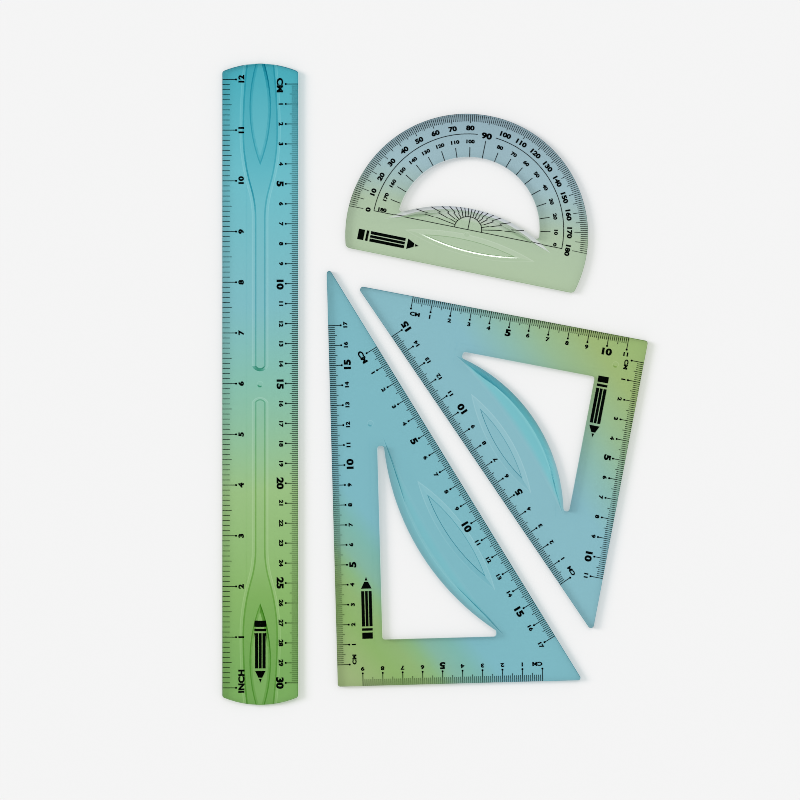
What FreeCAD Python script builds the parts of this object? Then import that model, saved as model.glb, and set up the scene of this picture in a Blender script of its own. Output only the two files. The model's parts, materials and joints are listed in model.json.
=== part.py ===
import FreeCAD, Part

import math
import os

import Sketcher

# A four-piece flexible drawing set laid out flat: a 30 cm ruler, a protractor, a 30/60 set square and a
# 45 set square. Each is one translucent moulding with its scales printed on the underside.
# Frame: +Z up, the table is Z = 0, +X right and +Y up the ruler, origin under the middle of the layout.

doc = FreeCAD.newDocument("drawing_set")

# ---------------------------------------------------------------- driving dimensions (mm and degrees)

DIMENSIONS = {
    # shared by all four mouldings
    "plate_top": 2.5,        # top face above the table
    "print_relief": 0.08,    # the printed underside stands this far above the table
    "ink_film": 0.04,
    "edge_round": 0.5,       # top outer edges
    "line_fine": 0.27,       # printed line widths
    "line_bold": 0.34,
    "short_tick": 3.0,       # ticks of the centimetre scales
    "middle_tick": 4.0,
    "long_tick": 6.0,
    "inch": 25.4,
    "short_inch_tick": 3.5,
    "middle_inch_tick": 4.4,
    "long_inch_tick": 6.6,
    "dot_radius": 0.5,       # dot at the inner end of each numbered tick
    "gate_radius": 1.6,      # moulding gate mark, a shallow dished dimple
    "gate_floor": 0.8,
    "gate_depth": 0.35,
    "lip_width": 1.4,        # gently sloped lip round each groove of the ruler
    "lip_drop": 0.45,
    "wall_run": 0.8,         # steep wall below the lip, in plan
    "recess_depth": 0.9,
    "tick_inset": 0.2,       # printed ticks start this far inside the edge
    # ruler
    "ruler_x": -87.5,
    "ruler_width": 37.9,
    "ruler_length": 321.0,
    "ruler_bow": 3.9,        # rise of each end's arc
    "ruler_corner": 1.5,
    "groove_half": 1.9,
    "groove_end": 2.3,       # radius of the groove's round end
    "groove_start": 7.2,     # from mid length to the groove's round end
    "flare_start": 83.0,
    "flare_angle": 16.3,
    "flare_inner": 54.7,
    "flare_outer": 99.5,
    "spoon_radius": 300.0,
    "leaf_middle": 138.5,    # widest point of the raised leaf in the spoon, from mid length
    "leaf_radius": 80.0,
    "leaf_half": 5.4,
    "island_foot": 0.6,      # steep foot of the leaf, in plan
    "island_foot_rise": 0.4,
    "island_slope": 1.0,     # rounded-off upper side of the leaf, in plan
    "ruler_land_width": 14.0,
    "ruler_land_length": 226.0,
    "centimetre_zero": 150.4,    # the 0 line above mid length
    "inch_zero": -152.1,
    # 30/60 set square: origin at the right angle, short leg along local x
    "sixty_x": -48.6,
    "sixty_y": -151.4,
    "sixty_turn": 1.54,
    "sixty_short": 122.4,
    "sixty_long": 211.4,
    "sixty_corner": 1.2,
    "sixty_wall_x": 22.9,
    "sixty_wall_y": 22.9,
    "sixty_arc_x": 152.1,
    "sixty_arc_y": 129.5,
    "sixty_arc_radius": 126.2,
    "sixty_window_right": 80.0,
    "sixty_window_top": 119.9,
    "sixty_rib_angle": 209.8,
    "sixty_rib_half": 27.4,
    "sixty_rib_width": 9.8,
    "sixty_rib_bevel": 3.8,
    "sixty_leaf_x": 61.3,
    "sixty_leaf_y": 74.0,
    "sixty_leaf_turn": 123.8,
    "sixty_leaf_length": 67.6,
    "sixty_leaf_width": 12.0,
    "sixty_gate_x": 19.8,
    "sixty_gate_y": 131.3,
    "sixty_long_zero": 10.8,     # each 0 line, from the corner that its scale starts at
    "sixty_short_zero": 19.8,
    "sixty_slant_zero": 48.3,
    "sixty_long_count": 17,      # last centimetre of each scale
    "sixty_short_count": 9,
    "sixty_slant_count": 17,
    # 45 set square
    "square_x": 106.7,
    "square_y": 21.6,
    "square_turn": 169.2,
    "square_leg": 148.6,
    "square_corner": 1.5,
    "square_wall_x": 22.8,
    "square_wall_y": 22.5,
    "square_arc_x": 110.4,
    "square_arc_y": 110.2,
    "square_arc_radius": 86.8,
    "square_window_right": 90.0,
    "square_window_top": 91.4,
    "square_rib_angle": 224.5,
    "square_rib_half": 34.0,
    "square_rib_width": 11.0,
    "square_rib_bevel": 3.3,
    "square_leaf_x": 62.6,
    "square_leaf_y": 64.3,
    "square_leaf_turn": 131.8,
    "square_leaf_length": 58.5,
    "square_leaf_width": 10.5,
    "square_gate_x": 13.8,
    "square_gate_y": 14.6,
    "square_long_zero": 11.1,
    "square_short_zero": 28.9,
    "square_slant_zero": 29.0,
    "square_long_count": 11,
    "square_short_count": 11,
    "square_slant_count": 15,
    # grips of the set squares and the protractor
    "window_corner": 1.4,
    "rib_rise": 1.1,
    "crest_width": 0.4,      # flat crest between the bevel on the window side and the longer outer slope
    "crest_reach": 0.65,     # length of the crest as a share of its rib's
    "leaf_slope": 2.6,       # gentle side of the finger recess, in plan
    "leaf_drop": 0.75,
    "leaf_step": 0.3,        # steep step at the foot of that side, in plan
    "leaf_depth": 1.1,
    "land_margin": 4.0,
    # protractor: origin at the centre of its rim
    "protractor_x": 15.9,
    "protractor_y": 74.6,
    "protractor_turn": -11.4,
    "rim_radius": 60.8,
    "base_drop": 17.9,       # straight base below the rim's centre
    "base_corner": 2.5,
    "scale_rise": 2.9,       # centre of the degree scale above the rim's centre
    "bow_radius": 35.8,      # top edge of the window
    "bow_rise": 3.56,
    "arch_radius": 73.0,     # bottom edge of the window
    "arch_rise": 13.4,
    "arc_line_radius": 48.0,
    "number_gap": 5.5,       # half angle left open in the arc line for the 90
    "fan_radius": 6.9,
    "degree_tick": 3.2,
    "five_tick_radius": 54.2,
    "ten_tick_radius": 53.4,
    "inner_tick_start": 36.4,
    "inner_tick_end": 41.4,
    "inner_tick_extra": 4.0,
    "base_land": 13.0,
    "arch_rib_half": 36.0,
    "arch_rib_width": 6.5,
    "arch_rib_bevel": 3.0,
    "half_leaf_x": 2.5,
    "half_leaf_y": -4.9,
    "half_leaf_turn": -2.4,
    "half_leaf_length": 67.0,
    "half_leaf_width": 10.5,
}

sheet = doc.addObject("Spreadsheet::Sheet", "dimensions")
for row, (alias, value) in enumerate(DIMENSIONS.items(), start=1):
    sheet.set("A%d" % row, alias)
    sheet.set("B%d" % row, str(value))
    sheet.setAlias("B%d" % row, alias)
doc.recompute()


class Dimensions:
    """The sheet's cells as plain numbers: dim.ruler_width."""

    def __getattr__(self, alias):
        return float(sheet.get(alias))


dim = Dimensions()


def formula(text):
    """Turn a formula over cell names into a FreeCAD expression."""
    words = []
    for word in text.split():
        if word in DIMENSIONS:
            word = "dimensions." + word
        words.append(word)
    return " ".join(words)


def value_of(text):
    result = sheet.evalExpression(formula(text))
    return float(result.Value) if hasattr(result, "Value") else float(result)


# ---------------------------------------------------------------- sketches


def new_body(name):
    body = doc.addObject("PartDesign::Body", name)
    body.Label = name
    body.AllowCompound = True
    return body


def origin_plane(body, role):
    return [feature for feature in body.Origin.OriginFeatures if feature.Role == role][0]


def new_sketch(body, name, height="0"):
    """A sketch on the body's XY plane, raised to a height formula."""
    sketch = body.newObject("Sketcher::SketchObject", name)
    sketch.AttachmentSupport = [(origin_plane(body, "XY_Plane"), "")]
    sketch.MapMode = "FlatFace"
    sketch.setExpression("AttachmentOffset.Base.z", formula(height))
    return sketch


def constrain(sketch, text, *details):
    """Add a measured constraint and bind it to its formula."""
    index = sketch.addConstraint(Sketcher.Constraint(*details, value_of(text)))
    sketch.setExpression("Constraints[%d]" % index, formula(text))


def arc_between(start, end, radius, left, major=False):
    """Centre and angles of the arc from start to end; left means it bulges to the left of travel."""
    chord = end - start
    middle = (start + end) * 0.5
    side = FreeCAD.Vector(-chord.y, chord.x, 0).normalize()
    offset = math.sqrt(max(radius**2 - (chord.Length / 2) ** 2, 0))
    if left != major:
        offset = -offset
    centre = middle + side * offset
    first = math.atan2(start.y - centre.y, start.x - centre.x)
    last = math.atan2(end.y - centre.y, end.x - centre.x)
    if left:
        first, last = last, first
    if last < first:
        last += 2 * math.pi
    circle = Part.Circle(centre, FreeCAD.Vector(0, 0, 1), radius)
    return Part.ArcOfCircle(circle, first, last)


def outline(sketch, corners, arcs=None):
    """A closed chain through corners given as formulas; arcs[i] bends the side that leaves corner i."""
    arcs = arcs or {}
    points = [FreeCAD.Vector(value_of(x), value_of(y), 0) for x, y in corners]
    ends = []
    for i, start in enumerate(points):
        end = points[(i + 1) % len(points)]
        if i in arcs:
            radius, left, major = arcs[i]
            edge = sketch.addGeometry(arc_between(start, end, value_of(radius), left, major))
            ends.append((edge, 2, 1) if left else (edge, 1, 2))
            constrain(sketch, radius, "Radius", edge)
        else:
            edge = sketch.addGeometry(Part.LineSegment(start, end))
            ends.append((edge, 1, 2))
    for i, (edge, first, last) in enumerate(ends):
        after, after_first, after_last = ends[(i + 1) % len(ends)]
        sketch.addConstraint(Sketcher.Constraint("Coincident", edge, last, after, after_first))
        constrain(sketch, corners[i][0], "DistanceX", -1, 1, edge, first)
        constrain(sketch, corners[i][1], "DistanceY", -1, 1, edge, first)


def round_hole(sketch, x, y, radius):
    centre = FreeCAD.Vector(value_of(x), value_of(y), 0)
    circle = sketch.addGeometry(Part.Circle(centre, FreeCAD.Vector(0, 0, 1), value_of(radius)))
    constrain(sketch, x, "DistanceX", -1, 1, circle, 3)
    constrain(sketch, y, "DistanceY", -1, 1, circle, 3)
    constrain(sketch, radius, "Radius", circle)


def two_arcs(sketch, inside, other, lens):
    """The region inside one circle and inside (a lens) or outside (a crescent) another one."""
    discs = [[value_of(text) for text in circle] for circle in (inside, other)]
    (ax, ay, ar), (bx, by, br) = discs
    apart = math.hypot(bx - ax, by - ay)
    axis = math.atan2(by - ay, bx - ax)
    half_a = math.acos((ar**2 + apart**2 - br**2) / (2 * ar * apart))
    half_b = math.acos((br**2 + apart**2 - ar**2) / (2 * br * apart))
    back = axis + math.pi
    spans = [(axis - half_a, axis + half_a), (back - half_b, back + half_b)]
    if not lens:
        spans[0] = (axis + half_a, axis - half_a + 2 * math.pi)
    edges = []
    for (x, y, radius), (first, last), texts in zip(discs, spans, (inside, other)):
        circle = Part.Circle(FreeCAD.Vector(x, y, 0), FreeCAD.Vector(0, 0, 1), radius)
        edge = sketch.addGeometry(Part.ArcOfCircle(circle, first, last))
        constrain(sketch, texts[0], "DistanceX", -1, 1, edge, 3)
        constrain(sketch, texts[1], "DistanceY", -1, 1, edge, 3)
        constrain(sketch, texts[2], "Radius", edge)
        edges.append(edge)
    # a lens is walked round through both arcs, a crescent runs back along the second one
    pairs = ((2, 1), (1, 2)) if lens else ((2, 2), (1, 1))
    for first, second in pairs:
        sketch.addConstraint(Sketcher.Constraint("Coincident", edges[0], first, edges[1], second))


# ---------------------------------------------------------------- features


def pad(body, name, sketch, length, down=False):
    feature = body.newObject("PartDesign::Pad", name)
    feature.Profile = sketch
    feature.setExpression("Length", formula(length))
    feature.Reversed = down
    doc.recompute()
    return feature


def pocket(body, name, sketch, depth, up=False):
    """Cut down from the sketch, or up from it."""
    feature = body.newObject("PartDesign::Pocket", name)
    feature.Profile = sketch
    feature.setExpression("Length", formula(depth))
    feature.Reversed = up
    doc.recompute()
    return feature


def fillet(body, name, base, edges, radius):
    """Round numbered edges of a feature, the radius bound to a formula."""
    feature = body.newObject("PartDesign::Fillet", name)
    feature.Base = (base, ["Edge%d" % number for number in edges])
    feature.setExpression("Radius", formula(radius))
    doc.recompute()
    return feature


def loft(body, name, kind, sections):
    feature = body.newObject("PartDesign::" + kind, name)
    feature.Profile = sections[0]
    feature.Sections = sections[1:]
    feature.Ruled = True
    doc.recompute()
    return feature


def edges_where(feature, test):
    return [i for i, edge in enumerate(feature.Shape.Edges, start=1) if test(edge)]


def upright(edge):
    """True for a straight edge along Z."""
    return edge.BoundBox.ZLength > 0.5 and edge.BoundBox.XLength < 1e-6 and edge.BoundBox.YLength < 1e-6


def level(edge, height):
    return abs(edge.BoundBox.ZMin - height) < 1e-6 and abs(edge.BoundBox.ZMax - height) < 1e-6


def middle_of(edge):
    return edge.valueAt((edge.FirstParameter + edge.LastParameter) / 2)


# ---------------------------------------------------------------- shared details


def gate_mark(body, x, y):
    """The shallow dished dimple left at the moulding gate."""
    rim = new_sketch(body, body.Name + "_gate_rim", "plate_top")
    round_hole(rim, x, y, "gate_radius")
    bottom = new_sketch(body, body.Name + "_gate_bottom", "plate_top - gate_depth")
    round_hole(bottom, x, y, "gate_floor")
    return loft(body, body.Name + "_gate", "SubtractiveLoft", [rim, bottom])


def place(body, x, y, turn):
    body.setExpression("Placement.Base.x", formula(x))
    body.setExpression("Placement.Base.y", formula(y))
    body.setExpression("Placement.Rotation.Angle", formula(turn + " * 1 deg"))


def round_top_rim(body, outside):
    """Round the top edges of the outer outline, found by a test on each edge's middle."""
    tip = body.Tip
    edges = edges_where(tip, lambda e: level(e, dim.plate_top) and outside(middle_of(e)))
    return fillet(body, body.Name + "_rim", tip, edges, "edge_round")


def leaf_discs(x, y, turn, length, width, inset):
    """The two circles whose overlap is a pointed leaf, each shrunk by an inset."""
    radius = "( ( %s ) ^ 2 / 4 + ( %s ) ^ 2 / 4 ) / ( %s )" % (length, width, width)
    shift = "( %s - %s / 2 )" % (radius, width)
    across_x = "%s * sin( ( %s ) * 1 deg )" % (shift, turn)
    across_y = "%s * cos( ( %s ) * 1 deg )" % (shift, turn)
    shrunk = "%s - %s" % (radius, inset)
    near = ("%s + %s" % (x, across_x), "%s - %s" % (y, across_y), shrunk)
    far = ("%s - %s" % (x, across_x), "%s + %s" % (y, across_y), shrunk)
    return near, far


def leaf_recess(body, x, y, turn, length, width):
    """A pointed finger recess: gently sloped sides, then a small step down to a narrower leaf."""
    inset = "( leaf_slope + leaf_step )"
    levels = [("top", "plate_top", "0"), ("shelf", "plate_top - leaf_drop", "leaf_slope"),
              ("floor", "plate_top - leaf_depth", inset)]
    sections = []
    for name, height, inward in levels:
        sketch = new_sketch(body, "%s_leaf_%s" % (body.Name, name), height)
        two_arcs(sketch, *leaf_discs(x, y, turn, length, width, inward), True)
        sections.append(sketch)
    return loft(body, body.Name + "_leaf", "SubtractiveLoft", sections)


def crescent(sketch, x, y, radius, angle, half, width):
    """A crescent inside a circle: widest at angle, with its tips half degrees to either side."""
    chord = "( ( %s ) * sin( ( %s ) * 1 deg ) )" % (radius, half)
    sagitta = "( ( %s ) * ( 1 - cos( ( %s ) * 1 deg ) ) - %s )" % (radius, half, width)
    back = "( ( %s ^ 2 + %s ^ 2 ) / ( 2 * %s ) )" % (chord, sagitta, sagitta)
    shift = "( %s - ( %s - %s ) )" % (back, radius, width)
    back_x = "%s - %s * cos( ( %s ) * 1 deg )" % (x, shift, angle)
    back_y = "%s - %s * sin( ( %s ) * 1 deg )" % (y, shift, angle)
    two_arcs(sketch, (x, y, radius), (back_x, back_y, back), False)


def grip_rib(body, x, y, radius, angle, half, width, bevel):
    """The raised crescent along the window's curved side, sloped on both sides."""
    base = new_sketch(body, body.Name + "_rib_base", "plate_top")
    crescent(base, x, y, radius, angle, half, width)
    crest = new_sketch(body, body.Name + "_rib_crest", "plate_top + rib_rise")
    crescent(crest, x, y, "%s - %s" % (radius, bevel), angle, half + " * crest_reach", "crest_width")
    return loft(body, body.Name + "_rib", "AdditiveLoft", [base, crest])


# ---------------------------------------------------------------- ruler


def groove_outline(sketch, lip, over):
    """A finger groove: round end, straight run, flare, and a spoon that runs out at the ruler's end.

    Each boundary moves outwards by lip.
    """
    half, end = "( groove_half + %s )" % lip, "( groove_end + %s )" % lip
    inner, outer = "( flare_inner - %s )" % lip, "( flare_outer + %s )" % lip
    spoon = "( spoon_radius + %s )" % lip
    turn_x = "( %s + %s * ( 1 - cos( flare_angle * 1 deg ) ) )" % (half, inner)
    turn_y = "( flare_start + %s * sin( flare_angle * 1 deg ) )" % inner
    wide_x = "( %s + %s * ( 1 - cos( flare_angle * 1 deg ) ) )" % (turn_x, outer)
    wide_y = "( %s + %s * sin( flare_angle * 1 deg ) )" % (turn_y, outer)
    out_x = "( %s - %s + sqrt( %s ^ 2 - ( %s - %s ) ^ 2 ) )" % (wide_x, spoon, spoon, over, wide_y)
    right = [(half, "groove_start + groove_half"), (half, "flare_start"), (turn_x, turn_y),
             (wide_x, wide_y), (out_x, over)]
    left = [("- " + x, y) for x, y in reversed(right)]
    bends = {1: (inner, True, False), 2: (outer, False, False), 3: (spoon, False, False),
             5: (spoon, False, False), 6: (outer, False, False), 7: (inner, True, False),
             9: (end, False, False)}
    outline(sketch, right + left, bends)


def island_discs(inset):
    """The two circles whose overlap is the raised leaf in the spoon, shrunk by inset."""
    middle = "( leaf_radius - leaf_half )"
    radius = "leaf_radius - " + inset
    return ("- " + middle, "leaf_middle", radius), (middle, "leaf_middle", radius)


def make_ruler():
    body = new_body("ruler_body")
    half = "ruler_width / 2"
    blank = new_sketch(body, "ruler_blank", "print_relief")
    over = "( ruler_length / 2 + 3 )"
    outline(blank, [("- " + half, "- " + over), (half, "- " + over), (half, over), ("- " + half, over)])
    pad(body, "ruler_plate", blank, "plate_top - print_relief")

    levels = [("top", "plate_top", "( wall_run + lip_width )"), ("lip", "plate_top - lip_drop", "wall_run"),
              ("floor", "plate_top - recess_depth", "0")]
    sections = []
    for name, height, outward in levels:
        sketch = new_sketch(body, "groove_" + name, height)
        groove_outline(sketch, outward, over)
        sections.append(sketch)
    groove = loft(body, "groove", "SubtractiveLoft", sections)
    floor = "plate_top - recess_depth"
    levels = [("floor", floor, "0"), ("side", floor + " + island_foot_rise", "island_foot"),
              ("top", "plate_top", "( island_foot + island_slope )")]
    sections = []
    for name, height, inset in levels:
        sketch = new_sketch(body, "island_" + name, height)
        two_arcs(sketch, *island_discs(inset), True)
        sections.append(sketch)
    island = loft(body, "island", "AdditiveLoft", sections)
    mirrored = body.newObject("PartDesign::Mirrored", "far_groove")
    mirrored.Originals = [groove, island]
    mirrored.MirrorPlane = (origin_plane(body, "XZ_Plane"), [""])
    body.Tip = mirrored
    doc.recompute()

    # bowed ends and rounded corners
    ends = new_sketch(body, "ruler_ends", "plate_top")
    side = "( ruler_length / 2 - ruler_bow )"
    bow = "( ( ruler_width / 2 ) ^ 2 + ruler_bow ^ 2 ) / ( 2 * ruler_bow )"
    corners = [("- " + half, "- " + side), (half, "- " + side), (half, side), ("- " + half, side)]
    outline(ends, corners, {0: (bow, False, False), 2: (bow, False, False)})
    wide, high = "ruler_width", "ruler_length"
    outline(ends, [("- " + wide, "- " + high), (wide, "- " + high), (wide, high), ("- " + wide, high)])
    cut = pocket(body, "ruler_end_cut", ends, "plate_top")
    at_corner = edges_where(cut, lambda e: upright(e) and abs(middle_of(e).x) > dim.ruler_width / 2 - 1)
    fillet(body, "ruler_corners", cut, at_corner, "ruler_corner")
    gate_mark(body, "0", "0")
    round_top_rim(body, lambda p: abs(p.x) > 10)

    land = new_sketch(body, "ruler_land_sketch", "print_relief")
    wide, high = "ruler_land_width / 2", "ruler_land_length / 2"
    outline(land, [("- " + wide, "- " + high), (wide, "- " + high), (wide, high), ("- " + wide, high)])
    pad(body, "ruler_land", land, "print_relief", down=True)
    return body


# ---------------------------------------------------------------- set squares


def window_corners(prefix, margin):
    """Corners of a set square's cut-out, with its boundary moved out by margin."""
    left, bottom = "( %s_wall_x - %s )" % (prefix, margin), "( %s_wall_y - %s )" % (prefix, margin)
    right, top = "( %s_window_right + %s )" % (prefix, margin), "( %s_window_top + %s )" % (prefix, margin)
    radius = "( %s_arc_radius - %s )" % (prefix, margin)
    across = "( %s_arc_y - sqrt( %s ^ 2 - ( %s_arc_x - %s ) ^ 2 ) )" % (prefix, radius, prefix, right)
    up = "( %s_arc_x - sqrt( %s ^ 2 - ( %s_arc_y - %s ) ^ 2 ) )" % (prefix, radius, prefix, top)
    corners = [(left, bottom), (right, bottom), (right, across), (up, top), (left, top)]
    return corners, {2: (radius, True, False)}


def make_set_square(name, prefix, short, long):
    body = new_body(name)
    outer = new_sketch(body, prefix + "_outline", "print_relief")
    outline(outer, [("0", "0"), (short, "0"), ("0", long)])
    plate = pad(body, prefix + "_plate", outer, "plate_top - print_relief")
    fillet(body, prefix + "_corners", plate, edges_where(plate, upright), prefix + "_corner")

    land = new_sketch(body, prefix + "_land_sketch", "print_relief")
    outline(land, *window_corners(prefix, "land_margin"))
    pad(body, prefix + "_land", land, "print_relief", down=True)
    window = new_sketch(body, prefix + "_window_sketch", "plate_top")
    outline(window, *window_corners(prefix, "0"))
    cut = pocket(body, prefix + "_window", window, "plate_top")
    wall_x, wall_y = value_of(prefix + "_wall_x"), value_of(prefix + "_wall_y")
    inner = edges_where(cut, lambda e: upright(e) and in_window(middle_of(e), wall_x, wall_y))
    fillet(body, prefix + "_window_corners", cut, inner, "window_corner")

    centre = (prefix + "_arc_x", prefix + "_arc_y")
    rib = [prefix + "_rib_" + end for end in ("angle", "half", "width", "bevel")]
    grip_rib(body, *centre, prefix + "_arc_radius", *rib)
    leaf_recess(body, *[prefix + "_leaf_" + end for end in ("x", "y", "turn", "length", "width")])
    gate_mark(body, prefix + "_gate_x", prefix + "_gate_y")
    on_outline = set_square_outline(value_of(short), value_of(long))
    round_top_rim(body, on_outline)
    place(body, prefix + "_x", prefix + "_y", prefix + "_turn")
    return body


def in_window(point, wall_x, wall_y):
    return point.x > wall_x - 0.1 and point.y > wall_y - 0.1


def set_square_outline(short, long):
    """A test for points on or close to a set square's outer edges."""
    slant = math.hypot(short, long)

    def test(point):
        from_slant = (short * long - long * point.x - short * point.y) / slant
        return min(point.x, point.y, from_slant) < 1.0

    return test


# ---------------------------------------------------------------- protractor


def make_protractor():
    body = new_body("protractor_body")
    outer = new_sketch(body, "protractor_outline", "print_relief")
    half = "sqrt( rim_radius ^ 2 - base_drop ^ 2 )"
    outline(outer, [("- " + half, "- base_drop"), (half, "- base_drop")], {1: ("rim_radius", False, True)})
    plate = pad(body, "protractor_plate", outer, "plate_top - print_relief")
    fillet(body, "protractor_corners", plate, edges_where(plate, upright), "base_corner")

    land = new_sketch(body, "protractor_land_sketch", "print_relief")
    low, high = "1 - base_drop", "- base_drop + base_land"
    near, far = "- base_land", "3 * base_land"
    outline(land, [(near, low), (far, low), (far, high), (near, high)])
    pad(body, "protractor_land", land, "print_relief", down=True)
    window = new_sketch(body, "protractor_window_sketch", "plate_top")
    arch_y = "( arch_rise - arch_radius )"
    two_arcs(window, ("0", "bow_rise", "bow_radius"), ("0", arch_y, "arch_radius"), False)
    cut = pocket(body, "protractor_window", window, "plate_top")
    inner = edges_where(cut, lambda e: upright(e) and middle_of(e).y > 0)
    fillet(body, "protractor_window_corners", cut, inner, "window_corner")

    arch_rib = ["arch_rib_" + end for end in ("half", "width", "bevel")]
    grip_rib(body, "0", arch_y, "arch_radius", "90", *arch_rib)
    leaf_recess(body, *["half_leaf_" + end for end in ("x", "y", "turn", "length", "width")])
    gate_mark(body, "0", "0")
    round_top_rim(body, lambda p: p.y < 1 - dim.base_drop or math.hypot(p.x, p.y) > dim.rim_radius - 1)
    place(body, "protractor_x", "protractor_y", "protractor_turn")
    return body


# ---------------------------------------------------------------- printed scales
# Each tick and line is its own flat ink solid under the plate, made at the moulding's own origin.


def ink_line(start, end, width):
    length = (end - start).Length
    bar = Part.makeBox(length, width, dim.ink_film, FreeCAD.Vector(0, -width / 2, 0))
    turn = math.degrees(math.atan2(end.y - start.y, end.x - start.x))
    bar.rotate(FreeCAD.Vector(), FreeCAD.Vector(0, 0, 1), turn)
    bar.translate(start + ink_level())
    return bar


def ink_dot(centre, radius):
    return Part.makeCylinder(radius, dim.ink_film, centre + ink_level())


def ink_level():
    return FreeCAD.Vector(0, 0, dim.print_relief - dim.ink_film)


def ink_arc(centre, radius, width, first, last):
    """A curved line between two angles in degrees."""
    turn = last - first
    up = FreeCAD.Vector(0, 0, 1)
    outer = Part.makeCylinder(radius + width / 2, dim.ink_film, centre + ink_level(), up, turn)
    ring = outer.cut(Part.makeCylinder(radius - width / 2, dim.ink_film, centre + ink_level()))
    ring.rotate(centre, up, first)
    return ring


def numbered_tick(foot, head):
    """A long tick with a dot at its inner end, as one solid."""
    return ink_line(foot, head, dim.line_bold).fuse(ink_dot(head, dim.dot_radius)).removeSplitter()


def edge_scale(zero, along, inward, count, pitch, lengths):
    """Ticks from an edge: every tenth is long with a dot, every fifth is of middle length."""
    short, middle, long = lengths
    ticks = []
    for i in range(count + 1):
        foot = zero + along * (i * pitch) + inward * dim.tick_inset
        if i % 10 == 0:
            ticks.append(numbered_tick(foot, foot + inward * long))
        else:
            length = middle if i % 5 == 0 else short
            ticks.append(ink_line(foot, foot + inward * length, dim.line_fine))
    return ticks


def add_print(name, solids, x, y, turn):
    """Put a printed layer on the moulding that stands at x, y and is turned by turn."""
    node = doc.addObject("Part::Feature", name)
    node.Label = name
    node.Shape = Part.makeCompound(solids)
    place(node, x, y, turn)
    return node


def print_ruler():
    half = dim.ruler_width / 2
    down, up = FreeCAD.Vector(0, -1, 0), FreeCAD.Vector(0, 1, 0)
    right = FreeCAD.Vector(1, 0, 0)
    metric_ticks = (dim.short_tick, dim.middle_tick, dim.long_tick)
    metric = edge_scale(FreeCAD.Vector(half, dim.centimetre_zero, 0), down, -right, 300, 1.0, metric_ticks)
    inch_ticks = (dim.short_inch_tick, dim.middle_inch_tick, dim.long_inch_tick)
    inches = edge_scale(FreeCAD.Vector(-half, dim.inch_zero, 0), up, right, 120, dim.inch / 10, inch_ticks)
    yield add_print("ruler_centimetre_ticks", metric, "ruler_x", "0", "0")
    yield add_print("ruler_inch_ticks", inches, "ruler_x", "0", "0")


def print_set_square(name, prefix, short, long):
    """The three edge scales: along both legs and down the hypotenuse."""
    across, up = FreeCAD.Vector(1, 0, 0), FreeCAD.Vector(0, 1, 0)
    slant = FreeCAD.Vector(short, -long, 0).normalize()
    inward = FreeCAD.Vector(-long, -short, 0).normalize()
    layout = {
        "long": ("long_leg", FreeCAD.Vector(0, 0, 0), up, across),
        "short": ("short_leg", FreeCAD.Vector(short, 0, 0), -across, up),
        "slant": ("hypotenuse", FreeCAD.Vector(0, long, 0), slant, inward),
    }
    lengths = (dim.short_tick, dim.middle_tick, dim.long_tick)
    for side, (label, corner, along, towards) in layout.items():
        zero = corner + along * value_of("%s_%s_zero" % (prefix, side))
        count = int(value_of("%s_%s_count" % (prefix, side))) * 10
        ticks = edge_scale(zero, along, towards, count, 1.0, lengths)
        yield add_print("%s_%s_ticks" % (name, label), ticks, prefix + "_x", prefix + "_y", prefix + "_turn")


def ray(degrees):
    return FreeCAD.Vector(math.cos(math.radians(degrees)), math.sin(math.radians(degrees)), 0)


def reach(origin, direction, centre, radius):
    """Distance from origin along direction to a circle that surrounds it."""
    offset = origin - centre
    along = offset.dot(direction)
    return math.sqrt(along**2 - offset.Length**2 + radius**2) - along


def print_protractor():
    origin = FreeCAD.Vector(0, dim.scale_rise, 0)
    spot = ("protractor_x", "protractor_y", "protractor_turn")
    degrees = []
    for i in range(181):
        edge = reach(origin, ray(i), FreeCAD.Vector(), dim.rim_radius - dim.edge_round)
        inner = edge - dim.degree_tick
        if i % 5 == 0:
            inner = dim.ten_tick_radius if i % 10 == 0 else dim.five_tick_radius
        degrees.append(ink_line(origin + ray(i) * inner, origin + ray(i) * edge, dim.line_fine))
    yield add_print("protractor_degree_ticks", degrees, *spot)

    inner_ticks = []
    for i in range(10, 180, 10):
        end = dim.inner_tick_end + (dim.inner_tick_extra if i == 90 else 0)
        start = origin + ray(i) * dim.inner_tick_start
        inner_ticks.append(ink_line(start, origin + ray(i) * end, dim.line_bold))
    yield add_print("protractor_inner_ticks", inner_ticks, *spot)

    arch_centre = FreeCAD.Vector(0, dim.arch_rise - dim.arch_radius, 0)
    fan_edge = dim.fan_radius + dim.line_bold / 2
    rays = []
    for i in range(10, 180, 10):
        end = reach(origin, ray(i), arch_centre, dim.arch_radius - dim.tick_inset)
        rays.append(ink_line(origin + ray(i) * fan_edge, origin + ray(i) * end, dim.line_bold))
    yield add_print("protractor_fan_rays", rays, *spot)

    gap, radius, width = dim.number_gap, dim.arc_line_radius, dim.line_bold
    base = ink_line(origin - ray(0) * radius, origin + ray(0) * radius, width)
    branches = [
        ink_arc(origin, radius, width, 0, 90 - gap),
        ink_arc(origin, radius, width, 90 + gap, 180),
        ink_arc(origin, dim.fan_radius, width, 0, 180),
        ink_line(origin, origin + ray(90) * dim.fan_radius, width),
    ]
    frame = base.fuse(branches).removeSplitter()
    yield add_print("protractor_lines", frame.Solids, *spot)


# ---------------------------------------------------------------- assembly, checks and export

parts = [
    make_ruler(),
    make_set_square("set_square_60_body", "sixty", "sixty_short", "sixty_long"),
    make_set_square("set_square_45_body", "square", "square_leg", "square_leg"),
    make_protractor(),
]
place(parts[0], "ruler_x", "0", "0")
parts.extend(print_ruler())
parts.extend(print_set_square("set_square_60", "sixty", dim.sixty_short, dim.sixty_long))
parts.extend(print_set_square("set_square_45", "square", dim.square_leg, dim.square_leg))
parts.extend(print_protractor())
doc.recompute()

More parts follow.
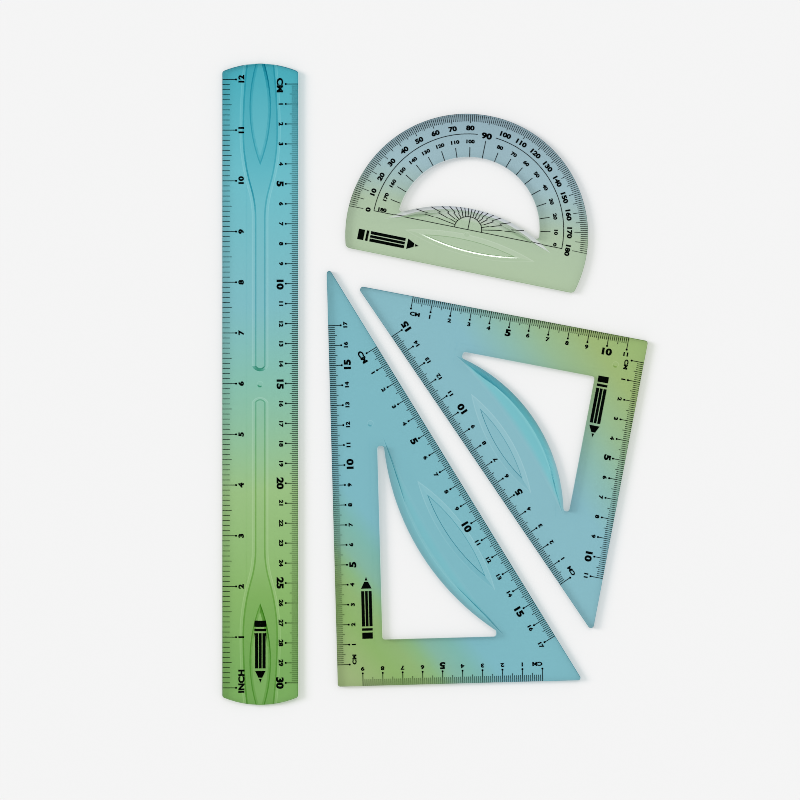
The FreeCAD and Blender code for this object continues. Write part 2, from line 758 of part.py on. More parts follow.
for item in doc.Objects:
    if "Invalid" in item.State or "Error" in item.State:
        raise RuntimeError("%s failed to recompute" % item.Label)
for item in parts:
    if item.Shape.isNull() or not item.Shape.isValid() or not item.Shape.Solids:
        raise RuntimeError("%s has no valid solid" % item.Label)

os.makedirs("parts", exist_ok=True)
for item in parts:
    item.Shape.exportStep("parts/%s.step" % item.Label)
    print(item.Label, len(item.Shape.Solids), round(item.Shape.Volume, 1))
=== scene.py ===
import json
import math
from collections import namedtuple

import bmesh
import bpy
from mathutils import Matrix, Vector


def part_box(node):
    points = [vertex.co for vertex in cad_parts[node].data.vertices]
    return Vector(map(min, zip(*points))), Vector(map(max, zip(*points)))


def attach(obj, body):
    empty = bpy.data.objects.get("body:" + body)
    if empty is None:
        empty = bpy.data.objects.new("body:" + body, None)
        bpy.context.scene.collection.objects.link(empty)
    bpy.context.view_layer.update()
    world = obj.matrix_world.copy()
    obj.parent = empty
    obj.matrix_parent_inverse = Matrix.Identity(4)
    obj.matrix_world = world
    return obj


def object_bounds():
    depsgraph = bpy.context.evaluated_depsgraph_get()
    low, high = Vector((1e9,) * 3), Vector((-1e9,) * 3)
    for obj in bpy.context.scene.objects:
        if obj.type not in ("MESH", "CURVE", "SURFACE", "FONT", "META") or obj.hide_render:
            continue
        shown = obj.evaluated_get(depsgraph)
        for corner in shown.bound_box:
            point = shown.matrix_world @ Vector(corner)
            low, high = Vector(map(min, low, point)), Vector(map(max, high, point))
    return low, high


# A flexible translucent drawing set lying on a pale table: ruler, protractor and two set squares.
# The mouldings and their printed ticks come from the frame. This script adds the printed numbers,
# the pencil marks, the two-colour plastic, the ink, the table, the light and the camera.

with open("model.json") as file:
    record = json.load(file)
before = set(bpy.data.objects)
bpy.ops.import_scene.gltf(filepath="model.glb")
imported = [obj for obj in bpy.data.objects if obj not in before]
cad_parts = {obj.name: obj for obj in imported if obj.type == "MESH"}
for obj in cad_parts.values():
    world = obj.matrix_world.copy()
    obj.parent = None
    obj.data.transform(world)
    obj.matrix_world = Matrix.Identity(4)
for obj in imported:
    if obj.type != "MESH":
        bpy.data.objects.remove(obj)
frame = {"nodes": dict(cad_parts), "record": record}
cad_low, cad_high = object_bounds()

MM = 0.001


# ---------------------------------------------------------------- where the mouldings lie


def mount(name):
    """Position and outward normal of one of the record's mounts, flattened to the table."""
    found = [m for m in frame["record"]["mounts"] if m["name"] == name][0]
    return Vector(found["pos_m"][:2]), Vector(found["axis"][:2]).normalized()


class Edge:
    """A straight edge of a moulding: a point on it and its outward normal, in the table's plane."""

    def __init__(self, name):
        self.point, self.normal = mount(name)

    def along(self):
        """The way a number reads along this edge with its top towards the edge."""
        return Vector((self.normal.y, -self.normal.x))

    def at(self, distance, depth):
        """A point at a distance along the edge from its mount, and a depth inside it."""
        return self.point + self.along() * distance - self.normal * depth

    def start_of(self, node):
        """How far along this edge a node begins, measured from the mount."""
        way = self.along()
        corners = [vertex.co for vertex in frame["nodes"][node].data.vertices]
        return min((p.x - self.point.x) * way.x + (p.y - self.point.y) * way.y for p in corners)


def corner_of(first, second):
    """The point where two straight edges would meet."""
    normals = Matrix((first.normal, second.normal))
    reach = Vector((first.normal.dot(first.point), second.normal.dot(second.point)))
    return normals.inverted() @ reach


# ---------------------------------------------------------------- building materials


class Value:
    """A number that a material works out, and that other formulas can be built on."""

    def __init__(self, tree, socket):
        self.tree = tree
        self.socket = socket

    def calculate(self, operation, other=0):
        node = self.tree.nodes.new("ShaderNodeMath")
        node.operation = operation
        connect(self.tree, self, node.inputs[0])
        connect(self.tree, other, node.inputs[1])
        return Value(self.tree, node.outputs[0])

    def __add__(self, other):
        return self.calculate("ADD", other)

    def __sub__(self, other):
        return self.calculate("SUBTRACT", other)

    def __mul__(self, other):
        return self.calculate("MULTIPLY", other)

    def size(self):
        return self.calculate("ABSOLUTE")

    def at_least(self, low):
        return self.calculate("MAXIMUM", low)

    def at_most(self, high):
        return self.calculate("MINIMUM", high)

    def above(self, level):
        """1 where the value is greater than level, and 0 elsewhere."""
        return self.calculate("GREATER_THAN", level)

    def below(self, level):
        """1 where the value is less than level, and 0 elsewhere."""
        return self.calculate("LESS_THAN", level)

    def rise(self, low, high):
        """0 up to low, 1 from high on, and a smooth rise between them."""
        node = self.tree.nodes.new("ShaderNodeMapRange")
        node.interpolation_type = "SMOOTHSTEP"
        connect(self.tree, self, node.inputs["Value"])
        node.inputs["From Min"].default_value = low
        node.inputs["From Max"].default_value = high
        return Value(self.tree, node.outputs["Result"])


def connect(tree, source, entry):
    """Feed a node's input with a Value, another node's output, or a plain number or colour."""
    if isinstance(source, Value):
        source = source.socket
    if isinstance(source, bpy.types.NodeSocket):
        tree.links.new(source, entry)
    else:
        entry.default_value = source


def add(tree, kind, **inputs):
    """A node with some of its inputs set; an underscore in an input's name stands for a space."""
    node = tree.nodes.new(kind)
    for name, source in inputs.items():
        connect(tree, source, node.inputs[name.replace("_", " ")])
    return node


def dot(tree, vector, direction):
    """How far a node's vector reaches along a direction."""
    node = tree.nodes.new("ShaderNodeVectorMath")
    node.operation = "DOT_PRODUCT"
    connect(tree, vector, node.inputs[0])
    connect(tree, direction, node.inputs[1])
    return Value(tree, node.outputs["Value"])


def mix_colours(tree, share, first, second, blend="MIX"):
    node = add(tree, "ShaderNodeMixRGB", Fac=share, Color1=first, Color2=second)
    node.blend_type = blend
    return node.outputs["Color"]


def mix_shaders(tree, share, first, second):
    node = add(tree, "ShaderNodeMixShader", Fac=share)
    connect(tree, first, node.inputs[1])
    connect(tree, second, node.inputs[2])
    return node.outputs[0]


def new_material(name):
    material = bpy.data.materials.new(name)
    material.use_nodes = True
    material.node_tree.nodes.clear()
    return material, material.node_tree


def finish_surface(tree, shader):
    add(tree, "ShaderNodeOutputMaterial", Surface=shader)


def linear(red, green, blue):
    """An 8-bit screen colour as linear light."""
    def channel(level):
        share = level / 255
        return share / 12.92 if share <= 0.04045 else ((share + 0.055) / 1.055) ** 2.4
    return channel(red), channel(green), channel(blue), 1.0


def paint(node, material):
    """Give a CAD node its material."""
    piece = frame["nodes"][node]
    if not piece.data.materials:
        piece.data.materials.append(material)
    for slot in piece.material_slots:
        slot.material = material


# ---------------------------------------------------------------- ink

INK_CELLS = 900.0       # noise cells to a metre
INK_DARKEST = (0.001, 0.002, 0.002, 1)
INK_LIGHTEST = (0.004, 0.005, 0.005, 1)


def make_ink():
    """Matt black screen-printing ink with a very faint grain."""
    material, tree = new_material("printed_ink")
    place = add(tree, "ShaderNodeTexCoord").outputs["Object"]
    grain = add(tree, "ShaderNodeTexNoise", Vector=place, Scale=INK_CELLS, Detail=3.0)
    tone = add(tree, "ShaderNodeValToRGB", Fac=grain.outputs["Fac"])
    tone.color_ramp.elements[0].color = INK_DARKEST
    tone.color_ramp.elements[1].color = INK_LIGHTEST
    body = add(tree, "ShaderNodeBsdfDiffuse", Color=tone.outputs["Color"])
    finish_surface(tree, body.outputs["BSDF"])
    return material


INK = make_ink()

# ---------------------------------------------------------------- plastic

# Heights above the table. A finger groove's floor lies between FLOOR_LOW and FLOOR_HIGH.
REST_TOP = 0.1 * MM     # the low rests under a moulding throw no shade of their own
FLOOR_LOW = 1.0 * MM
FLOOR_HIGH = 1.7 * MM
GLINT_TOP = 1.95 * MM   # only the lower part of a recess catches the glint
RIM_LOW = 2.3 * MM      # a painted highlight on the rim of a recess grows from here to RIM_HIGH
RIM_HIGH = 2.49 * MM
PLATE_TOP = 2.5 * MM
EDGE_TOP = 3.05 * MM    # the painted highlight line along the foot of a grip ends here
TINT_TOP = 3.1 * MM     # a grip has its full tint from here up
CREST_LOW = 3.4 * MM    # a painted highlight on the crest of a grip grows from here to CREST_HIGH
CREST_HIGH = 3.6 * MM

# A face's slope is the square of the sine of its tilt: 0 when it is level and 1 when upright.
# Each pair is where an effect begins and where it is full.
GENTLE = (0.01, 0.08)
ROUNDED = (0.02, 0.06)
STEEP = (0.12, 0.3)
NEARLY_UPRIGHT = (0.8, 0.98)
UPRIGHT = (0.9, 0.98)
LEVEL = 0.9             # a floor is level where its normal points up at least this far

# The camera sees the plastic's own colour to the power of FACE_SHARE plus a pull, which is painted
# light and shade: 0 on a level face, positive where painted shade darkens it, negative where a painted
# highlight lightens it.
FACE_SHARE = 0.25       # light crosses two faces on its way down and two on its way back up
LIT_SIDE = (-0.3, -0.95, 0)          # slopes that face this way get a painted highlight, the others painted shade
DARK_START = 0.17       # how far a slope may face away before painted shade begins
# strengths of the painted highlight on slopes that face the lit side, of the painted shade on steep slopes
# and of the painted highlight on gentle ones
SLOPE_HIGHLIGHT = 0.15
STEEP_SHADE = 0.7
GENTLE_HIGHLIGHT = 0.07
RIDGE_HIGHLIGHT = 0.14       # painted highlight on the crest of a grip and on the rim of a recess
LIGHTEST = -0.24
DARKEST = 1.2
WALL_CLEARS = 0.8       # how much of its slope's pull an upright wall loses
SPOON_START = (0.085, 0.11)     # metres from mid length, where painted shade on a groove's floor begins and where it is full

WALL_SHADE = 0.45       # how much of the light that meets a side wall never reaches the table
SWIRL = 0.06            # how far a colour boundary wanders, as a share of the colour's run
SWIRL_CELLS = 14.0      # noise cells to a metre
DIMPLE_CELLS = 2500.0
DIMPLE_DEPTH = 0.2 * MM
DIMPLE_STRENGTH = 0.03
REFRACTION = 1.49
BLUR = 0.03             # roughness of what is seen through the plastic
SHEEN = 0.05            # roughness of what is mirrored in it
HEAD_ON = 0.042         # reflection left out, so that a face seen head on is quite clear
GLINT_NORMAL = (0.066, 0.269, 0.961)    # a face turned this way throws the top light at the camera
GLINT_SPREAD = (0.996, 0.9995)
# colour of the painted highlight line along the foot of a grip, and how it fades in as the slope faces away
EDGE_HIGHLIGHT_COLOUR = (1.4, 1.2, 1.6, 1)
EDGE_FADE = (0, 0.08)
BLACK = (0, 0, 0, 1)


class Surface:
    """What a material knows of the place that it colours: its height, its slope and its facing."""

    def __init__(self, tree):
        self.tree = tree
        self.place = add(tree, "ShaderNodeTexCoord").outputs["Object"]
        geometry = add(tree, "ShaderNodeNewGeometry").outputs
        self.normal = geometry["True Normal"]
        self.behind = geometry["Backfacing"]
        self.height = dot(tree, self.place, (0, 0, 1))
        self.upward = dot(tree, self.normal, (0, 0, 1))
        self.slope = self.upward * self.upward * -1 + 1
        self.facing = dot(tree, self.normal, LIT_SIDE)
        self.away = self.facing * -1 - DARK_START

    def between(self, low, high):
        return self.height.above(low) * self.height.below(high)

    def slope_pull(self, recess_shade, grip_shade):
        """Painted shade or painted highlight on slopes by the way they face, and painted shade lines on
        steep ones.
        """
        strength = self.height.above(PLATE_TOP) * (grip_shade - recess_shade) + recess_shade
        dark = (self.away * strength).at_least(0)
        bright = (self.facing * SLOPE_HIGHLIGHT).at_least(0)
        gentle = self.slope.rise(*GENTLE) * GENTLE_HIGHLIGHT
        steep = self.slope.rise(*STEEP) * STEEP_SHADE
        return dark - bright - gentle + steep

    def spoon(self):
        """Up to 1 on a groove's floor where it widens near the moulding's ends, where shade is painted."""
        floor = self.between(FLOOR_LOW, FLOOR_HIGH) * self.upward.above(LEVEL)
        off_middle = dot(self.tree, self.place, (0, 1, 0)).size()
        return floor * off_middle.rise(*SPOON_START)

    def ridge(self):
        """Up to 1 on the crest of a grip and on the rim of a recess, where a highlight is painted."""
        crest = self.height.rise(CREST_LOW, CREST_HIGH)
        rim = self.height.rise(RIM_LOW, RIM_HIGH) * self.height.below(PLATE_TOP)
        return rim * self.slope.rise(*ROUNDED) + crest

    def pull(self, floor_shade, recess_shade, grip_shade):
        """How much darker than a level face this place is painted, by painted shade and painted highlight.
        """
        pull = self.slope_pull(recess_shade, grip_shade) + self.spoon() * floor_shade
        pull = (pull - self.ridge() * RIDGE_HIGHLIGHT).at_least(LIGHTEST)
        kept = self.slope.rise(*NEARLY_UPRIGHT) * -WALL_CLEARS + 1
        return (pull * kept).at_most(DARKEST)

    def foot_of_grip(self):
        """Up to 1 on the low part of a grip's slope that faces away from the lit side, where a pale
        highlight line is painted.
        """
        return self.between(PLATE_TOP, EDGE_TOP) * self.away.rise(*EDGE_FADE)

    def glint(self):
        """Up to 1 low in a recess, where a face throws the top light at the camera; there a highlight is
        painted as extra reflection.
        """
        lined_up = dot(self.tree, self.normal, GLINT_NORMAL).rise(*GLINT_SPREAD)
        return lined_up * self.height.below(GLINT_TOP)

    def shade(self):
        """How much of the light that meets this place is lost on its way to the table."""
        return self.slope.rise(*UPRIGHT) * WALL_SHADE * self.height.above(REST_TOP)


def colour_along(tree, place, line, stops):
    """A colour that changes along a line; each stop pairs a share of the line with a screen colour."""
    start, end = line
    way = (end - start) / (end - start).length_squared
    share = dot(tree, place, (way.x, way.y, 0)) - start.dot(way)
    flow = add(tree, "ShaderNodeTexNoise", Vector=place, Scale=SWIRL_CELLS, Detail=1.0)
    wandering = Value(tree, flow.outputs["Fac"]) * SWIRL + share
    ramp = add(tree, "ShaderNodeValToRGB", Fac=wandering)
    while len(ramp.color_ramp.elements) < len(stops):
        ramp.color_ramp.elements.new(0.5)
    for element, (position, colour) in zip(ramp.color_ramp.elements, stops):
        element.position = position + SWIRL / 2
        element.color = linear(*colour)
    return ramp.outputs["Color"]


def power_of(tree, colour, power):
    return add(tree, "ShaderNodeGamma", Color=colour, Gamma=power).outputs["Color"]


def clear_body(tree, surface, colour, glint):
    """What the camera sees: light bent through the plastic, with some mirrored in its surface."""
    dimple = add(tree, "ShaderNodeTexNoise", Vector=surface.place, Scale=DIMPLE_CELLS, Detail=2.0)
    bump = add(tree, "ShaderNodeBump", Strength=DIMPLE_STRENGTH, Distance=DIMPLE_DEPTH,
               Height=dimple.outputs["Fac"]).outputs["Normal"]
    bent = add(tree, "ShaderNodeBsdfRefraction", Color=colour, Roughness=BLUR, IOR=REFRACTION, Normal=bump)
    gloss = add(tree, "ShaderNodeBsdfGlossy", Roughness=SHEEN, Normal=bump)
    fresnel = Value(tree, add(tree, "ShaderNodeFresnel", IOR=REFRACTION).outputs[0])
    mirrored = (fresnel - HEAD_ON).at_least(0)
    # the glint is a painted highlight: extra mirror share on top of the real reflection
    if glint:
        mirrored = surface.glint() * glint + mirrored
    return mix_shaders(tree, mirrored, bent.outputs[0], gloss.outputs[0])


def let_through(tree, surface, body, colour):
    """The body, but shadows, the table's light and light already inside pass straight through."""
    shaded = mix_colours(tree, surface.shade(), colour, BLACK)
    through = add(tree, "ShaderNodeBsdfTransparent", Color=shaded)
    rays = add(tree, "ShaderNodeLightPath").outputs
    passing = Value(tree, rays["Is Shadow Ray"]).at_least(rays["Is Diffuse Ray"]).at_least(surface.behind)
    return mix_shaders(tree, passing, body, through.outputs[0])


def plastic(name, line, stops, floor_shade=0.0, grip_tint=(1, 1, 1), recess_shade=6.0, grip_shade=6.0,
            glint=0.0, edge_highlight=0.0):
    """Clear tinted plastic whose colour changes along a line.

    floor_shade is the painted shade on a groove's floor near its ends. recess_shade and grip_shade are
    how strongly painted shade darkens slopes that face away, below and above the plate's top. grip_tint
    colours what stands above the plate. glint and edge_highlight are how strong those two painted
    highlights are.
    """
    material, tree = new_material(name)
    surface = Surface(tree)
    own = colour_along(tree, surface.place, line, stops)
    # the pull paints shade and highlight into the colour that the camera sees
    seen = power_of(tree, own, surface.pull(floor_shade, recess_shade, grip_shade) + FACE_SHARE)
    seen = mix_colours(tree, surface.height.rise(PLATE_TOP, TINT_TOP), seen, (*grip_tint, 1), "MULTIPLY")
    # a painted highlight line along the foot of a grip
    if edge_highlight:
        seen = mix_colours(tree, surface.foot_of_grip() * edge_highlight, seen, EDGE_HIGHLIGHT_COLOUR)
    body = clear_body(tree, surface, seen, glint)
    finish_surface(tree, let_through(tree, surface, body, power_of(tree, own, FACE_SHARE)))
    return material


# ---------------------------------------------------------------- printed numbers and marks

# The printed film's two faces, in millimetres above the table.
INK_LOW = 0.04
INK_HIGH = 0.08

WELD = 1e-7             # metres; corners closer than this become one
CAP_SHARE = 0.70        # a capital's height as a share of the font size
HEAVY = 0.075           # how far an outline grows to look bold, as a share of its height
STRETCH = 1.3           # width of the lettering compared with the plain font
CURVE_STEPS = 4


def glyph_mesh(words, height, spacing):
    """A short text as a flat filled mesh, centred on the origin."""
    curve = bpy.data.curves.new("glyphs", "FONT")
    curve.body = words
    curve.size = 1 / CAP_SHARE
    curve.offset = HEAVY
    curve.align_x = "CENTER"
    curve.resolution_u = CURVE_STEPS
    curve.space_character = spacing
    holder = bpy.data.objects.new("glyphs", curve)
    bpy.context.scene.collection.objects.link(holder)
    solved = holder.evaluated_get(bpy.context.evaluated_depsgraph_get())
    mesh = bpy.data.meshes.new_from_object(solved)
    bpy.data.objects.remove(holder)
    bpy.data.curves.remove(curve)
    # a capital is 1 high here and stands on the x axis, so half of that brings its middle there
    centred = Matrix.Translation((0, -0.5, 0))
    mesh.transform(Matrix.Diagonal((height * STRETCH, height, height, 1)) @ centred)
    return mesh


class Print:
    """One printed layer: flat shapes, then thickened into a film that rides on a body."""

    def __init__(self):
        self.shapes = bmesh.new()

    def text(self, words, centre, top, height, spacing=1.0):
        """Put a text at centre with its top pointing along top."""
        mesh = glyph_mesh(words, height, spacing)
        right = Vector((top.y, -top.x))
        mesh.transform(Matrix(((right.x, top.x, 0, centre.x),
                               (right.y, top.y, 0, centre.y),
                               (0, 0, 1, 0),
                               (0, 0, 0, 1))))
        self.shapes.from_mesh(mesh)
        bpy.data.meshes.remove(mesh)

    def polygon(self, points):
        self.shapes.faces.new([self.shapes.verts.new((p.x, p.y, 0)) for p in points])

    def finish(self, name, body):
        """Close the film between its two faces and let it ride on the body."""
        shapes = self.shapes
        for face in shapes.faces:
            if face.normal.z < 0:
                face.normal_flip()
        bmesh.ops.remove_doubles(shapes, verts=shapes.verts, dist=WELD)
        bmesh.ops.solidify(shapes, geom=shapes.faces[:], thickness=(INK_HIGH - INK_LOW) * MM)
        low = min(vertex.co.z for vertex in shapes.verts)
        bmesh.ops.translate(shapes, verts=shapes.verts, vec=(0, 0, INK_LOW * MM - low))
        bmesh.ops.recalc_face_normals(shapes, faces=shapes.faces[:])
        mesh = bpy.data.meshes.new(name)
        shapes.to_mesh(mesh)
        shapes.free()
        mesh.materials.append(INK)
        piece = bpy.data.objects.new(name, mesh)
        bpy.context.scene.collection.objects.link(piece)
        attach(piece, body)


# How an edge scale is numbered, in millimetres. Each size is a number's height and how deep inside
# the edge its middle stands; every fifth number has a size of its own.
Scale = namedtuple("Scale", "pitch size fifth_size")
CENTIMETRES = Scale(pitch=10, size=(1.8, 8.5), fifth_size=(3.1, 9.0))
INCHES = Scale(pitch=25.4, size=(2.4, 9.3), fifth_size=(2.4, 9.3))

# A unit's name, its height, how far past the 0 line its middle stands, and how deep.
Unit = namedtuple("Unit", "words height shift depth")
RULER_UNIT = Unit("CM", 2.6, 0.6, 9.0)
INCH_UNIT = Unit("INCH", 2.5, 3.3, 9.3)
SIDE_UNIT = Unit("CM", 1.8, 2.5, 8.6)
LONG_SLANT_UNIT = Unit("CM", 2.35, 0.6, 9.0)
UNIT_SPACE = 1.05       # letter spacing of a unit's name, compared with the plain font
TICK_END = 0.5          # the dot of the first and last tick reaches this far past it


def number_edge(scale_name, body, edge, count, scale, unit):
    """Numbers along the edge scale whose ticks are in the frame, and its unit's name by the 0 line."""
    layer = Print()
    zero = edge.start_of(scale_name + "_ticks") + TICK_END * MM
    for i in range(1, count + 1):
        height, depth = scale.fifth_size if i % 5 == 0 else scale.size
        place = edge.at(zero + i * scale.pitch * MM, depth * MM)
        layer.text(str(i), place, edge.normal, height * MM)
    place = edge.at(zero + unit.shift * MM, unit.depth * MM)
    layer.text(unit.words, place, edge.normal, unit.height * MM, UNIT_SPACE)
    layer.finish(scale_name + "_numbers", body)


PENCIL_LENGTH = 31.0    # millimetres
PENCIL_SLIM = 0.17      # width of the pencil as a share of its length
STRIPES = ((-1, -0.42), (-0.25, 0.25), (0.42, 1))


def pencil_mark(name, body, centre, along):
    """A small wordless pencil that points along a direction.

    Its corners are shares: -0.5 to 0.5 of its length from end to tip, and -1 to 1 across it.
    """
    layer = Print()
    length = PENCIL_LENGTH * MM
    half = length * PENCIL_SLIM / 2
    across = Vector((-along.y, along.x))

    def shape(*corners):
        layer.polygon([centre + along * (u * length) + across * (v * half) for u, v in corners])

    def block(start, end, low, high):
        shape((start, low), (end, low), (end, high), (start, high))

    block(-0.50, -0.40, -1, 1)      # rubber
    block(-0.37, -0.33, -1, 1)      # ferrule
    for low, high in STRIPES:
        block(-0.30, 0.27, low, high)
    shape((0.31, -1), (0.42, -0.36), (0.42, 0.36), (0.31, 1))       # cut wood
    shape((0.44, -0.26), (0.50, 0), (0.44, 0.26))                   # lead
    layer.finish(name, body)


# ---------------------------------------------------------------- ruler

RULER_MARK_RISE = 26.5      # middle of the pencil above the ruler's foot, in millimetres
RULER_STOPS = [(0.02, (80, 181, 196)), (0.16, (115, 197, 209)), (0.38, (133, 196, 204)),
               (0.50, (141, 199, 181)), (0.66, (161, 200, 138)), (0.83, (144, 189, 112)),
               (0.95, (129, 179, 101))]


def dress_ruler():
    low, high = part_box("ruler_body")
    middle = (low.x + high.x) / 2
    top = Vector((middle, high.y))
    foot = Vector((middle, low.y))
    number_edge("ruler_centimetre", "ruler", Edge("ruler_centimetre_edge"), 30, CENTIMETRES, RULER_UNIT)
    number_edge("ruler_inch", "ruler", Edge("ruler_inch_edge"), 12, INCHES, INCH_UNIT)
    pencil_mark("ruler_mark", "ruler", foot + Vector((0, RULER_MARK_RISE * MM)), Vector((0, -1)))
    # painted shade darkens the ends of the groove's floor
    paint("ruler_body", plastic("ruler_plastic", (top, foot), RULER_STOPS, floor_shade=0.12))


# ---------------------------------------------------------------- set squares

COLOUR_REACH = 0.1      # metres from the square corner over which the colours change
COLOUR_START = 0.11     # share of that reach before the change begins
SIXTY_STOPS = [(0.00, (164, 187, 130)), (0.30, (148, 186, 113)), (0.45, (151, 187, 123)),
               (0.55, (145, 190, 136)), (0.66, (139, 189, 169)), (0.80, (132, 190, 180)),
               (0.95, (132, 192, 203))]
SQUARE_STOPS = [(0.00, (161, 190, 122)), (0.22, (164, 190, 125)), (0.50, (157, 193, 154)),
                (0.72, (147, 194, 183)), (0.94, (142, 194, 205))]


def print_set_square(name, sides, mark_depth, mark_start):
    """Number the three edges and print the pencil along the first one.

    The pencil's middle is mark_depth inside the first edge and mark_start from the second.
    """
    for edge_name, scale_name, count, unit in sides:
        edge = Edge(name + "_" + edge_name)
        number_edge(name + "_" + scale_name, name, edge, count, CENTIMETRES, unit)
    first, second = [Edge(name + "_" + side[0]) for side in sides[:2]]
    centre = corner_of(first, second) - first.normal * (mark_depth * MM) - second.normal * (mark_start * MM)
    pencil_mark(name + "_mark", name, centre, first.along())


def line_from_corner(name, first_edge, second_edge, squeeze):
    """The line of a set square's colour: it adds both legs' distances, the first one squeezed."""
    first = Edge(name + "_" + first_edge)
    second = Edge(name + "_" + second_edge)
    run = -first.normal * squeeze - second.normal
    run = run * (COLOUR_REACH / run.length_squared)
    start = corner_of(first, second) + run * COLOUR_START
    return start, start + run


def print_set_squares():
    print_set_square("set_square_60", [
        ("long_edge", "long_leg", 17, SIDE_UNIT),
        ("short_edge", "short_leg", 9, SIDE_UNIT),
        ("slant_edge", "hypotenuse", 17, LONG_SLANT_UNIT),
    ], mark_depth=15.5, mark_start=39)
    print_set_square("set_square_45", [
        ("right_edge", "long_leg", 11, SIDE_UNIT),
        ("top_edge", "short_leg", 11, SIDE_UNIT),
        ("slant_edge", "hypotenuse", 15, SIDE_UNIT),
    ], mark_depth=18.4, mark_start=37)


def paint_set_squares():
    # each square's plastic has its own strengths of painted shade on slopes that face away, in recesses and
    # on grips
    line = line_from_corner("set_square_60", "long_edge", "short_edge", squeeze=1.25)
    paint("set_square_60_body", plastic("set_square_60_plastic", line, SIXTY_STOPS,
                                        grip_tint=(0.90, 1.02, 1.01), recess_shade=1.8, grip_shade=0.8))
    line = line_from_corner("set_square_45", "right_edge", "top_edge", squeeze=1.0)
    paint("set_square_45_body", plastic("set_square_45_plastic", line, SQUARE_STOPS,
                                        grip_tint=(0.74, 1.04, 1.02), recess_shade=2.0, grip_shade=5.5))


# ---------------------------------------------------------------- protractor

# All in millimetres; a rise is measured from the base edge.
SCALE_RISE = 20.8       # centre of the degree scale
RIM_RISE = 78.7         # top of the rim
OUTER_RADIUS = 51.0
INNER_RADIUS = 44.2
RIGHT_ANGLE_RADIUS = 47.9
OUTER_NUMBER = 2.2
INNER_NUMBER = 1.65
RIGHT_ANGLE_NUMBER = 2.7
BASE_LINE_GAP = 1.3     # the inner 0 and 180 are lifted this far to clear the base line
MARK_SIDE = 38.0        # from the middle of the base edge to the middle of the pencil
MARK_RISE = 7.9
PROTRACTOR_STOPS = [(0.00, (184, 206, 173)), (0.34, (180, 202, 174)), (0.47, (169, 196, 190)),
                    (0.62, (165, 196, 204)), (0.94, (156, 184, 195))]


def turned(up, degrees):
    """The direction at an angle from the right-hand end of the protractor's base."""
    right = Vector((up.y, -up.x))
    turn = math.radians(degrees)
    return right * math.cos(turn) + up * math.sin(turn)


def number_protractor(centre, up):
    """The outer numbers run from the left and the inner ones from the right, and share one 90."""
    outer = Print()
    inner = Print()
    for i in range(0, 181, 10):
        out = turned(up, 180 - i)
        if i == 90:
            outer.text("90", centre + out * RIGHT_ANGLE_RADIUS * MM, out, RIGHT_ANGLE_NUMBER * MM)
            continue
        outer.text(str(i), centre + out * OUTER_RADIUS * MM, out, OUTER_NUMBER * MM)
        out = turned(up, i)
        place = centre + out * INNER_RADIUS * MM
        if i in (0, 180):
            inner.text(str(i), place + up * BASE_LINE_GAP * MM, up, INNER_NUMBER * MM)
        else:
            inner.text(str(i), place, out, INNER_NUMBER * MM)
    outer.finish("protractor_outer_numbers", "protractor")
    inner.finish("protractor_inner_numbers", "protractor")


def dress_protractor():
    base = Edge("protractor_base_edge")
    up = -base.normal
    number_protractor(base.at(0, SCALE_RISE * MM), up)
    mark_spot = base.point + turned(up, 180) * MARK_SIDE * MM + up * MARK_RISE * MM
    pencil_mark("protractor_mark", "protractor", mark_spot, turned(up, 0))
    line = (base.point, base.point + up * RIM_RISE * MM)
    # the protractor's plastic has its own strengths of painted shade on slopes, of a painted glint and of a
    # painted highlight line along its grip's foot
    paint("protractor_body", plastic("protractor_plastic", line, PROTRACTOR_STOPS,
                                     grip_tint=(1.05, 0.97, 1.1), recess_shade=0.9, grip_shade=0.9,
                                     glint=0.25, edge_highlight=0.8))


# ---------------------------------------------------------------- table, light and camera

TABLE_SIZE = 8.0        # metres
TABLE_LEVEL = -0.02     # just clear of the mouldings' rests, in millimetres
TABLE_COLOUR = (0.85, 0.85, 0.85, 1)
WHITE = (1, 1, 1, 1)
ROOM_LIGHT = 0.62
SHARPNESS = 0.9         # width of the picture's blur in pixels; a tick is about half a pixel wide
SENSOR_WIDTH = 36.0     # millimetres
VIEW_WIDTH = 0.401      # width of the picture at the table, in metres
VIEW_HEIGHT = 1.6       # height of the lens above the table, in metres
VIEW_SHIFT = Vector((-0.0175, -0.0079))     # the picture's middle from the middle of the layout


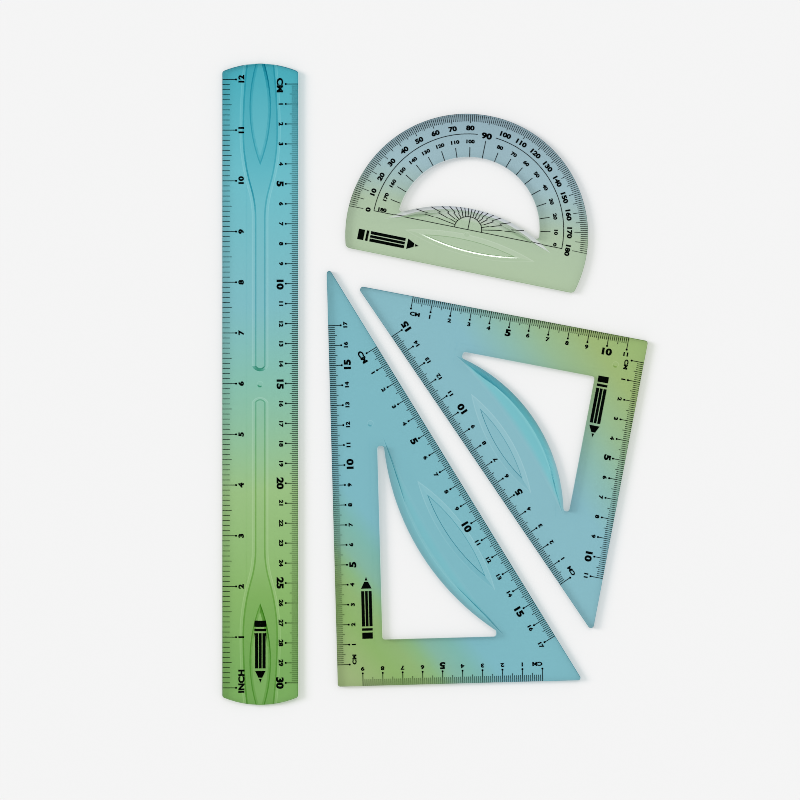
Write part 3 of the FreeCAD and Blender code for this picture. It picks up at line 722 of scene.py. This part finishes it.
def make_table():
    bpy.ops.mesh.primitive_plane_add(size=TABLE_SIZE, location=(0, 0, TABLE_LEVEL * MM))
    table = bpy.context.object
    table.name = "table"
    material, tree = new_material("pale_table")
    body = add(tree, "ShaderNodeBsdfDiffuse", Color=TABLE_COLOUR)
    finish_surface(tree, body.outputs["BSDF"])
    table.data.materials.append(material)


def make_world():
    """An even white room."""
    world = bpy.data.worlds.new("studio")
    world.use_nodes = True
    background = world.node_tree.nodes["Background"]
    background.inputs["Color"].default_value = WHITE
    background.inputs["Strength"].default_value = ROOM_LIGHT
    bpy.context.scene.world = world


def make_sun(name, direction, strength, spread, mirrored):
    """Soft light from a direction.

    spread is the angle it fills in the sky, and mirrored says if it shows in reflections.
    """
    light = bpy.data.lights.new(name, "SUN")
    light.energy = strength
    light.angle = math.radians(spread)
    holder = bpy.data.objects.new(name, light)
    holder.rotation_euler = (-Vector(direction)).to_track_quat("-Z", "Y").to_euler()
    holder.visible_glossy = mirrored
    holder.visible_transmission = False
    bpy.context.scene.collection.objects.link(holder)


def make_camera():
    """A long lens that looks straight down at the layout."""
    data = bpy.data.cameras.new("camera")
    data.sensor_width = SENSOR_WIDTH
    data.lens = SENSOR_WIDTH * VIEW_HEIGHT / VIEW_WIDTH
    camera = bpy.data.objects.new("camera", data)
    middle = (Vector(cad_low) + Vector(cad_high)) / 2
    camera.location = (middle.x + VIEW_SHIFT.x, middle.y + VIEW_SHIFT.y, VIEW_HEIGHT)
    bpy.context.scene.collection.objects.link(camera)
    bpy.context.scene.camera = camera


def set_picture():
    """Plain colours, and as little blur as the fine ticks need."""
    scene = bpy.context.scene
    scene.view_settings.view_transform = "Standard"
    scene.cycles.filter_width = SHARPNESS
    scene.cycles.denoising_prefilter = "NONE"      # a prefilter wipes out the printed ticks


# ---------------------------------------------------------------- the whole scene

dress_ruler()
print_set_squares()
paint_set_squares()
dress_protractor()

# everything that the frame has besides the mouldings is printed in ink
for node in frame["nodes"]:
    if not node.endswith("_body"):
        paint(node, INK)

make_table()
make_world()
make_sun("key", direction=(-0.87, 0.2, 0.45), strength=2.3, spread=24, mirrored=False)
make_sun("top", direction=(0.127, 0.518, 0.846), strength=0.45, spread=24, mirrored=True)
make_camera()
set_picture()
